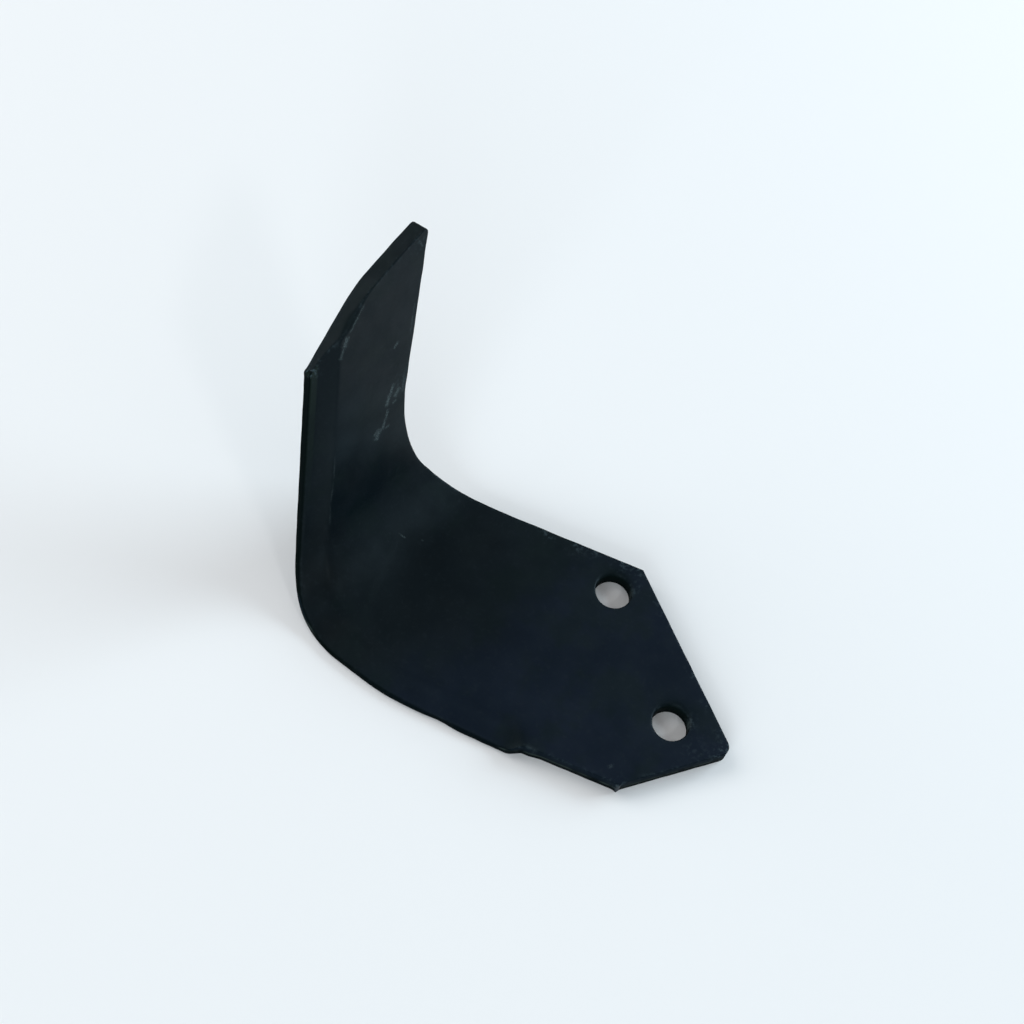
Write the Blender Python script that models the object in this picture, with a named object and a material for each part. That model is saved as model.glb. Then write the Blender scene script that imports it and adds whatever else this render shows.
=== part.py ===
"""Rotary tiller blade, forged from one flat steel bar.

The bar is sheared to its outline, thinned along the cutting edge, punched with two bolt holes and
bent up on a slant, so that its wing stands over the shank. X runs along the bar from the bolt holes
to the wing, Y points to the cutting edge and Z is up. The origin is on the underside, midway between
the two bolt holes. Lengths are in metres and angles in radians.
"""
import math

import bmesh
import bpy
from mathutils import Vector

# Radius of a corner that is left sharp
SHARP = 0.0

# Steel bar, with each long edge's distance from the origin
THICKNESS = 0.007
FRONT_OFFSET = 0.0524
BACK_OFFSET = 0.0347
EDGE_BREAK = 0.0004

# Bolt holes, punched from above, whose upper rims are drawn in
HOLE_DIAMETER = 0.0141
HOLE_SPACING = 0.057
HOLE_LINE_ANGLE = math.radians(132.0)
RIM_ROUNDING = 0.0009
HOLE_SIDES = 48

# Two straight cuts of the shank, each by its direction and its distance from the origin
SIDE_ANGLE = math.radians(134.3)
SIDE_OFFSET = 0.0160
REAR_ANGLE = math.radians(40.1)
REAR_OFFSET = 0.0459
REAR_CORNER_RADIUS = 0.0038

# Corners of the trailing edge: along the bar, out from the bar's back edge, radius
BACK_TAPER = (0.0713, 0.0001, 0.189)
BACK_TURN = (0.1373, 0.0034, 0.066)
TIP = (0.2003, 0.0643, 0.0016)

# Corners of the wing's end: along it from the tip, out from the line between tip and nose, radius
END_LOWER_BULGE = (0.0118, 0.0022, 0.034)
END_UPPER_BULGE = (0.0330, 0.0056, 0.041)

# Corners of the cutting edge: along the bar, out from the bar's front edge, radius
NOSE = (0.1973, -0.0840, SHARP)
WAIST = (0.1383, -0.0350, 0.036)
HEEL = (0.1193, -0.0095, 0.046)
HEEL_ENTRY = (0.0840, 0.0002, 0.120)
SWELL = (0.0680, 0.00125, 0.030)
DIP = (0.0605, 0.00105, 0.030)
SPREAD_END = (0.0540, 0.0022, 0.025)
SPREAD_START = (0.0331, 0.0030, 0.005)
NOTCH_FOOT = (0.0284, 0.0006, 0.001)
NOTCH_LIP = (0.0256, 0.0006, 0.004)
NOTCH_ENTRY = (0.0215, 0.0, 0.004)

# Bevel of the cutting edge, on the upper side: a thin lip, a narrow facet and a hollow main face
LIP_HEIGHT = 0.0020
FACET_WIDTH = 0.0013
FACET_HEIGHT = 0.0028
BEVEL_WIDTH = 0.0102
BEVEL_HOLLOW = 0.0005
BEVEL_RUN_IN = 0.014
BEVEL_RUN_IN_STEPS = 5
BEVEL_STEPS = 4

# Bend that raises the wing, about a line slanted to the bar
BEND_SLANT = math.radians(67.0)
BEND_START = 0.086
BEND_ANGLE = math.radians(71.0)
BEND_INNER_RADIUS = 0.0275
BEND_STEPS = 24

# Rounding of corners, the share of a corner's shorter side that its fillet may take, the turn below
# which a corner counts as straight, and the room that each cutter has outside the steel
ARC_STEP = math.radians(5.0)
ARC_MIN_STEPS = 3
FILLET_SHARE = 0.49
STRAIGHT_TURN = 0.001
CUTTER_ROOM = 0.004
NOSE_OVERRUN = 0.016
MERGE_DISTANCE = 0.000001
SHARP_ANGLE = math.radians(28.0)

# Dark blue-black paint
PAINT_COLOUR = (0.0125, 0.0185, 0.0265, 1.0)
PAINT_ROUGHNESS = 0.38
PAINT_METALLIC = 0.0


def clear_scene():
    """Remove every object that is in the file."""
    for item in list(bpy.data.objects):
        bpy.data.objects.remove(item, do_unlink=True)


def direction(angle):
    """Unit vector in the plane of the bar at an angle from X."""
    return Vector((math.cos(angle), math.sin(angle)))


def left_of(vector):
    """The vector turned a quarter turn to its left."""
    return Vector((-vector.y, vector.x))


def line_crossing(normal_a, offset_a, normal_b, offset_b):
    """Point where two lines meet, each given by its unit normal and its distance from the origin."""
    spread = normal_a.cross(normal_b)
    x = (offset_a * normal_b.y - offset_b * normal_a.y) / spread
    y = (offset_b * normal_a.x - offset_a * normal_b.x) / spread
    return Vector((x, y))


def shank_corners():
    """Corners of the shank where its straight cuts meet each other and the bar's long edges."""
    front = Vector((0.0, 1.0))
    back = Vector((0.0, -1.0))
    side = left_of(direction(SIDE_ANGLE))
    rear = left_of(direction(REAR_ANGLE))
    front_corner = line_crossing(front, FRONT_OFFSET, rear, REAR_OFFSET)
    rear_corner = line_crossing(rear, REAR_OFFSET, side, SIDE_OFFSET)
    side_corner = line_crossing(side, SIDE_OFFSET, back, BACK_OFFSET)
    return [
        (front_corner, SHARP),
        (rear_corner, REAR_CORNER_RADIUS),
        (side_corner, SHARP),
    ]


def trailing_corners():
    """Corners of the trailing edge, from the shank to the wing's tip."""
    return [
        (Vector((along, -BACK_OFFSET - out)), radius)
        for along, out, radius in (BACK_TAPER, BACK_TURN, TIP)
    ]


def front_corners(*named):
    """Corners that are given by their place along the bar and out from its front edge."""
    return [(Vector((along, FRONT_OFFSET + out)), radius) for along, out, radius in named]


def cutting_corners():
    """Corners of the cutting edge's smooth sweep, from the wing's nose round the heel."""
    return front_corners(NOSE, WAIST, HEEL, HEEL_ENTRY)


def spread_corners():
    """Corners of the forged spread, wavy from the hammer, and of the notch where it begins."""
    return front_corners(SWELL, DIP, SPREAD_END, SPREAD_START, NOTCH_FOOT, NOTCH_LIP, NOTCH_ENTRY)


def end_corners(tip, nose):
    """Corners of the wing's bulged end, between its tip and its nose."""
    along_end = (nose - tip).normalized()
    outward = -left_of(along_end)
    return [
        (tip + along_end * along + outward * out, radius)
        for along, out, radius in (END_LOWER_BULGE, END_UPPER_BULGE)
    ]


def arc_at_corner(before, corner, after, radius):
    """Points of the fillet at a corner, held short enough to fit the shorter of its two sides."""
    back = before - corner
    ahead = after - corner
    room = FILLET_SHARE * min(back.length, ahead.length)
    back.normalize()
    ahead.normalize()
    half = back.angle(ahead) / 2
    if radius <= 0 or half > math.pi / 2 - STRAIGHT_TURN:
        return [corner.copy()]
    cut = min(radius / math.tan(half), room)
    fitted = cut * math.tan(half)
    centre = corner + (back + ahead).normalized() * (fitted / math.sin(half))
    start = corner + back * cut - centre
    sweep = math.pi - 2 * half
    if back.cross(ahead) > 0:
        sweep = -sweep
    steps = max(ARC_MIN_STEPS, math.ceil(abs(sweep) / ARC_STEP))
    first = math.atan2(start.y, start.x)
    return [centre + fitted * direction(first + sweep * i / steps) for i in range(steps + 1)]


def rounded_outline(corners):
    """Closed outline through a ring of corners, each replaced by its fillet."""
    points = []
    for i, (corner, radius) in enumerate(corners):
        before = corners[i - 1][0]
        after = corners[(i + 1) % len(corners)][0]
        points += arc_at_corner(before, corner, after, radius)
    return points


def rounded_path(corners):
    """Open path through a row of corners, with fillets at all but its two ends."""
    points = [corners[0][0].copy()]
    for i in range(1, len(corners) - 1):
        points += arc_at_corner(corners[i - 1][0], corners[i][0], corners[i + 1][0], corners[i][1])
    points.append(corners[-1][0].copy())
    return points


def blank_outline():
    """Outline of the flat blank, counterclockwise from the start of the trailing edge."""
    trailing = trailing_corners()
    cutting = cutting_corners()
    ends = end_corners(trailing[-1][0], cutting[0][0])
    return rounded_outline(trailing + ends + cutting + spread_corners() + shank_corners())


def inset(points, distance):
    """The closed outline moved inwards by a distance, with mitred corners."""
    moved = []
    for i, point in enumerate(points):
        arriving = left_of((point - points[i - 1]).normalized())
        leaving = left_of((points[(i + 1) % len(points)] - point).normalized())
        mitre = (arriving + leaving).normalized()
        moved.append(point + mitre * (distance / mitre.dot(leaving)))
    return moved


def bridge(mesh, lower, upper):
    """Band of quads between two rings of as many vertices."""
    count = len(lower)
    for i in range(count):
        j = (i + 1) % count
        mesh.faces.new((lower[i], lower[j], upper[j], upper[i]))


def object_from(mesh, name):
    """New object in the scene that holds a finished bmesh."""
    data = bpy.data.meshes.new(name)
    mesh.to_mesh(data)
    mesh.free()
    item = bpy.data.objects.new(name, data)
    bpy.context.collection.objects.link(item)
    return item


def make_plate():
    """Flat plate of the blank's outline, its edges broken above and below."""
    outline = blank_outline()
    narrow = inset(outline, EDGE_BREAK)
    levels = (
        (narrow, 0.0),
        (outline, EDGE_BREAK),
        (outline, THICKNESS - EDGE_BREAK),
        (narrow, THICKNESS),
    )
    mesh = bmesh.new()
    rings = [[mesh.verts.new((p.x, p.y, height)) for p in points] for points, height in levels]
    for lower, upper in zip(rings, rings[1:]):
        bridge(mesh, lower, upper)
    mesh.faces.new(list(reversed(rings[0])))
    mesh.faces.new(rings[-1])
    return object_from(mesh, "flat_blank")


def bevel_section():
    """Section of the bevel cutter as points of depth from the edge and height, starting outside."""
    lip = Vector((0.0, LIP_HEIGHT))
    edge = Vector((FACET_WIDTH, FACET_HEIGHT))
    crest = Vector((BEVEL_WIDTH, THICKNESS))
    slope = crest - edge
    inward = Vector((slope.y, -slope.x)).normalized()
    section = [lip + (lip - edge) * (CUTTER_ROOM / FACET_WIDTH)]
    for i in range(BEVEL_STEPS + 1):
        t = i / BEVEL_STEPS
        section.append(edge + slope * t + inward * (4 * BEVEL_HOLLOW * t * (1 - t)))
    section.append(crest + slope * (CUTTER_ROOM / slope.y))
    section.append(Vector((-CUTTER_ROOM, THICKNESS + CUTTER_ROOM)))
    return section


def bevel_path():
    """Line that the bevel cutter follows: from past the nose, round the heel, to past the notch."""
    corners = cutting_corners()
    nose = corners[0][0]
    entry = corners[-1][0]
    shoulder = front_corners(SPREAD_START)[0][0]
    past_nose = nose + (nose - corners[1][0]).normalized() * NOSE_OVERRUN
    past_notch = shoulder + (shoulder - entry).normalized() * BEVEL_RUN_IN / 2
    return rounded_path([(past_nose, SHARP)] + corners[1:] + [(past_notch, SHARP)])


def run_out(distance_left):
    """Shift that carries the cutter clear of the steel over the last stretch of its path."""
    t = max(0.0, 1.0 - distance_left / BEVEL_RUN_IN)
    return (BEVEL_WIDTH + CUTTER_ROOM) * t * t


def densified(points, step):
    """The path with extra points, so that no stretch is longer than a step."""
    dense = [points[0]]
    for start, end in zip(points, points[1:]):
        pieces = max(1, math.ceil((end - start).length / step))
        dense += [start.lerp(end, k / pieces) for k in range(1, pieces + 1)]
    return dense


def make_bevel_cutter():
    """Solid swept along the cutting edge that leaves the lip, the facet and the hollow face."""
    path = densified(bevel_path(), BEVEL_RUN_IN / BEVEL_RUN_IN_STEPS)
    section = bevel_section()
    left = [0.0]
    for start, end in zip(reversed(path[:-1]), reversed(path[1:])):
        left.append(left[-1] + (end - start).length)
    left.reverse()
    mesh = bmesh.new()
    rings = []
    for i, point in enumerate(path):
        ahead = path[min(i + 1, len(path) - 1)]
        behind = path[max(i - 1, 0)]
        inward = left_of((ahead - behind).normalized())
        shift = run_out(left[i])
        ring = []
        for depth, height in section:
            place = point + inward * (depth - shift)
            ring.append(mesh.verts.new((place.x, place.y, height)))
        rings.append(ring)
    for first, second in zip(rings, rings[1:]):
        bridge(mesh, first, second)
    mesh.faces.new(list(reversed(rings[0])))
    mesh.faces.new(rings[-1])
    bmesh.ops.recalc_face_normals(mesh, faces=mesh.faces)
    return object_from(mesh, "bevel_cutter")


def punch_profile():
    """Radius and height of the punch, from below the steel to above it, with its rounded rim."""
    radius = HOLE_DIAMETER / 2
    profile = [(radius, -CUTTER_ROOM)]
    for i in range(ARC_MIN_STEPS + 1):
        turn = math.pi / 2 * i / ARC_MIN_STEPS
        flare = RIM_ROUNDING * (1 - math.cos(turn))
        rise = RIM_ROUNDING * (math.sin(turn) - 1)
        profile.append((radius + flare, THICKNESS + rise))
    profile.append((radius + RIM_ROUNDING, THICKNESS + CUTTER_ROOM))
    return profile


def make_punch(name, centre):
    """Turned punch that cuts one bolt hole."""
    mesh = bmesh.new()
    rings = []
    for radius, height in punch_profile():
        ring = []
        for i in range(HOLE_SIDES):
            place = centre + radius * direction(2 * math.pi * i / HOLE_SIDES)
            ring.append(mesh.verts.new((place.x, place.y, height)))
        rings.append(ring)
    for lower, upper in zip(rings, rings[1:]):
        bridge(mesh, lower, upper)
    mesh.faces.new(list(reversed(rings[0])))
    mesh.faces.new(rings[-1])
    return object_from(mesh, name)


def cut(item, cutter):
    """Take a cutter away from an object with a Boolean modifier."""
    cutter.hide_render = True
    cutter.display_type = "WIRE"
    modifier = item.modifiers.new(cutter.name, "BOOLEAN")
    modifier.operation = "DIFFERENCE"
    modifier.solver = "EXACT"
    modifier.object = cutter


def machined_mesh(item):
    """Mesh of an object with its modifiers applied, freed of doubled points."""
    evaluated = item.evaluated_get(bpy.context.evaluated_depsgraph_get())
    mesh = bmesh.new()
    mesh.from_mesh(evaluated.to_mesh())
    evaluated.to_mesh_clear()
    bmesh.ops.remove_doubles(mesh, verts=mesh.verts, dist=MERGE_DISTANCE)
    bmesh.ops.dissolve_degenerate(mesh, edges=mesh.edges, dist=MERGE_DISTANCE)
    return mesh


def bend_length():
    """Length of steel in the bend, along the middle of its thickness."""
    return (BEND_INNER_RADIUS + THICKNESS / 2) * BEND_ANGLE


def bend_directions():
    """Direction across the bend in the flat bar, and the direction of the bend's own axis."""
    return direction(BEND_SLANT - math.pi / 2), direction(BEND_SLANT)


def split_for_bend(mesh):
    """Cut the flat mesh along lines parallel to the bend, so that it can follow the curve."""
    across = bend_directions()[0].to_3d()
    for i in range(BEND_STEPS + 1):
        place = across * (BEND_START + bend_length() * i / BEND_STEPS)
        everything = list(mesh.verts) + list(mesh.edges) + list(mesh.faces)
        bmesh.ops.bisect_plane(mesh, geom=everything, dist=MERGE_DISTANCE, plane_co=place, plane_no=across)


def bent(point):
    """Place of a flat point after the bend: a roll about the inner radius, then the straight wing."""
    across, axis = bend_directions()
    flat = point.to_2d()
    travel = flat.dot(across) - BEND_START
    turn = min(max(travel / bend_length(), 0.0), 1.0) * BEND_ANGLE
    straight = travel - min(max(travel, 0.0), bend_length())
    radius = BEND_INNER_RADIUS + THICKNESS - point.z
    reach = BEND_START + radius * math.sin(turn) + straight * math.cos(turn)
    height = BEND_INNER_RADIUS + THICKNESS - radius * math.cos(turn) + straight * math.sin(turn)
    place = across * reach + axis * flat.dot(axis)
    return Vector((place.x, place.y, height))


def dark_paint():
    """Thin glossy blue-black paint."""
    material = bpy.data.materials.new("dark_paint")
    material.use_nodes = True
    shader = material.node_tree.nodes["Principled BSDF"]
    shader.inputs["Base Color"].default_value = PAINT_COLOUR
    shader.inputs["Roughness"].default_value = PAINT_ROUGHNESS
    shader.inputs["Metallic"].default_value = PAINT_METALLIC
    material.diffuse_color = PAINT_COLOUR
    return material


def make_blade():
    """The finished blade: the blank is bevelled, punched, bent and painted."""
    blank = make_plate()
    half_pitch = direction(HOLE_LINE_ANGLE) * HOLE_SPACING / 2
    cutters = [
        make_bevel_cutter(),
        make_punch("punch_front", half_pitch),
        make_punch("punch_back", -half_pitch),
    ]
    for cutter in cutters:
        cut(blank, cutter)
    mesh = machined_mesh(blank)
    for helper in [blank] + cutters:
        bpy.data.objects.remove(helper, do_unlink=True)
    split_for_bend(mesh)
    for vertex in mesh.verts:
        vertex.co = bent(vertex.co)
    blade = object_from(mesh, "blade")
    blade.data.materials.append(dark_paint())
    blade.data.shade_smooth()
    blade.data.set_sharp_from_angle(angle=SHARP_ANGLE)
    return blade


clear_scene()
make_blade()
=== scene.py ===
"""Looks of a rotary tiller blade: a fine steel surface with worn paint, on a pale floor in soft light.

X runs along the bar from the bolt holes to the wing, Y points to the cutting edge, Z is up, and the
origin is on the underside midway between the bolt holes. Lengths are in metres.
"""
import math

import bpy
import numpy as np
from mathutils import Matrix
from mathutils import Vector


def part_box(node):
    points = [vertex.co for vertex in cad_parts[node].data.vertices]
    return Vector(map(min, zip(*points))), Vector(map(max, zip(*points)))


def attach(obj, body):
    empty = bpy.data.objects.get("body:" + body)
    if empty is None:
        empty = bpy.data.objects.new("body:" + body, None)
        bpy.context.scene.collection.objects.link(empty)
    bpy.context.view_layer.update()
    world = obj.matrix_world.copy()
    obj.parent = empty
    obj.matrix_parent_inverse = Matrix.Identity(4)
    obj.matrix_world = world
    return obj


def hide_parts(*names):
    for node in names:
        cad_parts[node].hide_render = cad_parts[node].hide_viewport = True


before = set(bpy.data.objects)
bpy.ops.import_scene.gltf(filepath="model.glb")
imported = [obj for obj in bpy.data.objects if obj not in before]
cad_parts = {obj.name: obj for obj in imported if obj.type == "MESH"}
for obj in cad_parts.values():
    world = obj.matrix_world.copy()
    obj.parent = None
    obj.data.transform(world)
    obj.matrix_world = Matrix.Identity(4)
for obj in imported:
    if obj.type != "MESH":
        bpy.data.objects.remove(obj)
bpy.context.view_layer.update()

MM = 0.001

# Bar, holes and straight cuts, as the solid has them
THICKNESS = 7.0 * MM
FRONT_OFFSET = 52.4 * MM
BACK_OFFSET = 34.7 * MM
HOLE_RADIUS = 7.05 * MM
HOLE_SPACING = 57.0 * MM
HOLE_LINE_ANGLE = math.radians(132.0)
SIDE_ANGLE = math.radians(134.3)
SIDE_OFFSET = 16.0 * MM
REAR_ANGLE = math.radians(40.1)
REAR_OFFSET = 45.9 * MM
REAR_CORNER_RADIUS = 3.8 * MM
SHARP = 0.0

# Corners of the outline: along the bar, out from the bar's back edge, radius
BACK_CORNERS = np.array([(71.3, 0.1, 189.0), (137.3, 3.4, 66.0), (200.3, 64.3, 1.6)]) * MM

# Corners of the wing's end: along it from the tip, out from the line between tip and nose, radius
END_CORNERS = np.array([(11.8, 2.2, 34.0), (33.0, 5.6, 41.0)]) * MM

# Corners of the cutting edge, nose to heel: along the bar, out from the bar's front edge, radius
CUTTING_CORNERS = np.array([
    (197.3, -84.0, 0.0), (138.3, -35.0, 36.0), (119.3, -9.5, 46.0), (84.0, 0.2, 120.0),
]) * MM

# Corners of the forged spread and its notch, measured in the same way
SPREAD_CORNERS = np.array([
    (68.0, 1.25, 30.0), (60.5, 1.05, 30.0), (54.0, 2.2, 25.0), (33.1, 3.0, 5.0),
    (28.4, 0.6, 1.0), (25.6, 0.6, 4.0), (21.5, 0.0, 4.0),
]) * MM

# Bevel of the cutting edge
LIP_HEIGHT = 2.0 * MM
FACET_WIDTH = 1.3 * MM
FACET_HEIGHT = 2.8 * MM
BEVEL_WIDTH = 10.2 * MM
BEVEL_HOLLOW = 0.5 * MM
BEVEL_RUN_IN = 14.0 * MM
BEVEL_RUN_IN_DEPTH = BEVEL_WIDTH + 4.0 * MM
BEVEL_OVERRUN = 16.0 * MM

# Rounding of the bevel's crest on the wing and at the front, and the shares of its length between them
WING_CREST_ROUNDING = 0.35 * MM
FRONT_CREST_ROUNDING = 2.0 * MM
CREST_CHANGE = (0.25, 0.60)

# Bend of the wing
BEND_SLANT = math.radians(67.0)
BEND_START = 86.0 * MM
BEND_ANGLE = math.radians(71.0)
BEND_INNER_RADIUS = 27.5 * MM

# Edges and hole rims
TOP_EDGE_RADIUS = 0.45 * MM
LOW_EDGE_RADIUS = 0.35 * MM
EDGE_SUPPORT = 0.3 * MM
EDGE_STEPS = 5
RIM_STEPS = 8
WALL_STEPS = 6
HOLE_DISH = 0.4 * MM
HOLE_DISH_REACH = 2.8 * MM

# Rim of each hole, rolled in by the punch: radius where it is sharpest and where it is roundest
SHARP_RIM = 0.5 * MM
ROUND_RIM = 2.4 * MM
ROUND_RIM_ANGLE = math.radians(278.0)

# Place on the wing's end where the upper edge is hammered rounder
HAMMERED_SPOT = np.array([201.5, -54.0]) * MM
HAMMERED_REACH = 7.0 * MM
HAMMERED_RADIUS = 2.0 * MM

# Blunter lip of the cutting edge near the nose: how far it runs, and what it adds to lip and facet
BLUNT_RUN = 90.0 * MM
BLUNT_LIP = 1.3 * MM
BLUNT_FACET_HEIGHT = 0.8 * MM
BLUNT_FACET_WIDTH = 2.3 * MM

# Plane waves summed in a ripple, and the shares of its wavelength between which theirs lie
RIPPLE_WAVES = 8
RIPPLE_SPREAD = (0.7, 1.5)

# Fillets: share of the shorter side that one may take, and its points
FILLET_ROOM = 0.49
FILLET_POINTS = 25

# Least cosine that a corner's mitre is divided by, so that sharp corners don't throw a spike
MITRE_LEAST = 0.45

# Unevenness left by rolling, forging and shearing: wavelength and seed, with its height
LONG_WAVES, LONG_WAVE_HEIGHT = (55.0 * MM, 3), 0.05 * MM
SHORT_WAVES, SHORT_WAVE_HEIGHT = (14.0 * MM, 4), 0.018 * MM
BEVEL_WAVES, BEVEL_WAVE_HEIGHT = (16.0 * MM, 5), 0.04 * MM
HOLLOWS, HOLLOW_DEPTH = (40.0 * MM, 6), 0.03 * MM
HOLLOW_PATCHES = (25.0 * MM, 7)
RAGGED_EDGE, RAGGED_HEIGHT, RAGGED_INSET = (6.0 * MM, 11), 0.03 * MM, 0.02 * MM
UNEVEN_ROUNDING, UNEVEN_SHARE = (9.0 * MM, 12), 0.35
TORN_WALL, TORN_DEPTH, TORN_DRIFT = (4.0 * MM, 13), 0.05 * MM, 30.0 * MM

# Burrs left by the shears at the nose and at the shank's front corner, and how far each reaches
NOSE_BURR = 0.6 * MM
FRONT_BURR = 0.6 * MM
BURR_REACH = 0.9 * MM

# Scratches through the paint, and one broad faint stroke that is a painted highlight across the bend, in
# millimetres of the flat blank: start, end, width, strength
SCRATCHES_AND_HIGHLIGHT = [
    (173.6, -62.8, 172.8, -59.0, 1.8, 0.50),
    (160.5, -50.9, 157.2, -46.2, 1.9, 0.60),
    (158.4, -47.0, 154.7, -42.1, 2.5, 0.65),
    (156.0, -51.5, 154.5, -46.8, 2.7, 0.55),
    (159.0, -55.9, 152.1, -50.4, 1.8, 0.30),
    (152.6, -47.4, 153.2, -44.7, 1.7, 0.40),
    (153.7, -42.6, 150.5, -39.2, 1.9, 0.55),
    (151.3, -39.7, 147.9, -35.0, 2.0, 0.60),
    (146.5, -38.9, 147.2, -36.3, 1.7, 0.40),
    (150.0, -35.7, 147.2, -30.2, 3.0, 0.65),
    (150.3, -34.2, 149.9, -31.1, 2.1, 0.50),
    (180.5, -77.0, 170.1, -67.1, 1.2, 0.22),
    (199.5, -92.3, 195.5, -91.8, 1.2, 0.30),
    (198.8, -50.5, 196.0, -46.0, 2.8, 0.60),
    (196.6, -47.0, 193.3, -41.8, 1.8, 0.45),
    (202.2, -63.0, 198.4, -50.5, 1.2, 0.40),
    (162.2, -16.6, 153.4, -9.5, 0.9, 0.20),
    (153.4, -9.5, 146.0, -2.3, 0.9, 0.18),
    (146.0, -2.3, 137.3, 4.5, 0.9, 0.14),
    (105.6, -8.3, 101.4, -7.7, 0.9, 0.40),
    (95.5, -10.0, 94.1, -9.9, 0.9, 0.20),
    # Not a scratch: a painted highlight, the faint light band across the bend
    (104.3, -10.2, 102.2, 30.8, 5.0, 0.03),
    (28.0, 51.6, 22.5, 53.0, 2.4, 0.10),
    (-4.6, 47.4, -3.4, 46.2, 3.0, 0.25),
    (-26.3, 20.4, -24.9, 17.0, 1.8, 0.40),
    (11.9, -21.8, 13.3, -25.4, 1.6, 0.25),
]

# Scratches and the painted highlight among them: how far their streaks are drawn out, where their ends
# fade, and how much they fray
STREAK_LENGTH = 2.5
STREAK_ENDS = 0.6
STREAK_FRAY = 2.0

# Places where the paint is rubbed into specks, in millimetres of the flat blank: place, reach, strength
RUBBED_PLACES = np.array([
    (-44.8, 24.2, 4.8, 1.8), (-38.5, 16.5, 2.6, 0.8), (-30.0, 8.0, 2.6, 0.6), (-20.5, -2.0, 2.4, 0.8),
    (-3.5, -21.0, 2.6, 0.8), (1.2, -25.2, 2.5, 0.7), (-31.0, 28.0, 4.5, 0.22), (-40.5, 26.8, 3.0, 1.0),
    (50.7, -34.2, 2.5, 1.0), (38.7, -34.2, 3.0, 0.8), (31.6, -34.2, 2.5, 0.8), (20.0, -34.2, 3.0, 0.8),
    (13.0, -34.0, 3.0, 1.0), (11.5, -27.0, 3.0, 0.3), (-25.2, 18.0, 2.4, 0.8), (12.6, -23.6, 2.2, 0.6),
    (197.4, -32.4, 2.3, 2.2), (-8.8, 52.2, 2.2, 0.9), (155.5, -54.5, 4.0, 0.7), (198.0, -92.0, 3.0, 0.4),
])

# Places painted lighter, as painted light on the wing and at the bend, and places painted darker, as
# painted shade over the heel and the bend, given in the same way
PAINTED_LIGHT_PLACES = np.array([
    (140.0, -40.0, 9.0, 0.40), (150.0, -31.0, 9.0, 0.50), (161.0, -23.0, 9.0, 0.50),
    (158.0, -43.0, 9.0, 0.30), (170.0, -33.0, 9.0, 0.35), (103.0, 8.0, 11.0, 0.22),
])
PAINTED_SHADE_PLACES = np.array([
    (124.0, 22.0, 13.0, 0.75), (134.0, 8.0, 10.0, 0.40), (62.0, 12.0, 22.0, 0.25), (112.0, 38.0, 9.0, 0.60),
])

# Place where the paint is dull, at the start of the bevel, given in the same way
DULL_PLACES = np.array([(32.0, 51.0, 5.5, 0.55)])

# How far the wear of an edge and the darkening round a hole reach, and the darkening's least share
EDGE_WEAR = 2.0 * MM
RECESS_REACH = 3.0 * MM
RECESS_LEAST = 0.3

# Limits between which a wall, the lip, the upper side and the facet's inner border fade out
WALL_FADE = (0.1 * MM, 0.4 * MM)
LIP_FADE = (0.3 * MM, 1.2 * MM)
TOPSIDE_FADE = (0.25, 0.50)
FACET_FADE = 0.8

# How dull the lip and the wing's end are beside a sheared wall, and how much less the lip chips
LIP_DULLNESS = 0.9
END_DULLNESS = 0.22
END_MARGIN = 2.0 * MM
LIP_SPARED = 0.7

# Smooth bright line that the shears left on the shank's walls: height of its middle, and half width
BURNISHED_HEIGHT = 2.9 * MM
BURNISHED_WIDTH = 0.8 * MM

# How far above that line the wall turns from torn to smooth, and the height that the shank's walls end at
BURNISHED_RISE = 1.6 * MM
SHANK_WALL_TOP = THICKNESS + 0.5 * MM

# Colours of the paint and of the painted light and shade, from the darkest to the most worn
# Painted shade for the heel and the bend
PAINTED_SHADE_TONE = (0.0006, 0.0012, 0.0018, 1.0)
TORN_STEEL = (0.0014, 0.0034, 0.0030, 1.0)
SMOOTH_STEEL = (0.0046, 0.0092, 0.0140, 1.0)
DULL_TONES = (0.0014, 0.0036, 0.0052, 1.0), (0.0024, 0.0054, 0.0078, 1.0)
BLUE_TONES = (0.0026, 0.0058, 0.0118, 1.0), (0.0038, 0.0072, 0.0150, 1.0)
GREENER = (0.0022, 0.0062, 0.0066, 1.0)
RECESS_TONE = (0.0030, 0.0066, 0.0064, 1.0)
# Painted highlight on the cutting edge's facet near the nose
FACET_HIGHLIGHT = (0.0078, 0.0140, 0.0112, 1.0)
SPECKS = (0.0110, 0.0160, 0.0200, 1.0)
# Painted light for the wing and the bend
PAINTED_LIGHT_TONE = (0.0130, 0.0200, 0.0240, 1.0)
BURNISHED = (0.0300, 0.0420, 0.0400, 1.0)
CHIPPED = (0.060, 0.090, 0.104, 1.0)
# Bright steel of the scratches, also used for the painted highlight across the bend
SCRATCH_AND_HIGHLIGHT_TONE = (0.085, 0.115, 0.120, 1.0)

# Patches in the paint: scale, detail and roughness of their noise, then the limits of its fade
CLOUDS = (26.0, 4.0, 0.55), (0.34, 0.68)
GREENER_PATCHES = (55.0, 3.0, 0.6), (0.46, 0.66)
SPECK_PATCHES = (620.0, 2.0, 0.55), (0.54, 0.74)
BURNISHED_PATCHES = (260.0, 3.0, 0.55), (0.36, 0.60)
# Patches of the painted highlight on the facet
FACET_HIGHLIGHT_PATCHES = (140.0, 3.0, 0.55), (0.30, 0.70, 0.55, 0.95)
CHIP_PATCHES = (620.0, 4.0, 0.65), (0.49, 0.63)
# Patches that cut up the scratches and the painted highlight across the bend
SCRATCH_AND_HIGHLIGHT_PATCHES = (230.0, 3.0, 0.7), (0.40, 0.56)
ROUGHER_PATCHES = (90.0, 5.0, 0.55), (0.35, 0.70, 0.38, 0.52)

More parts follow.
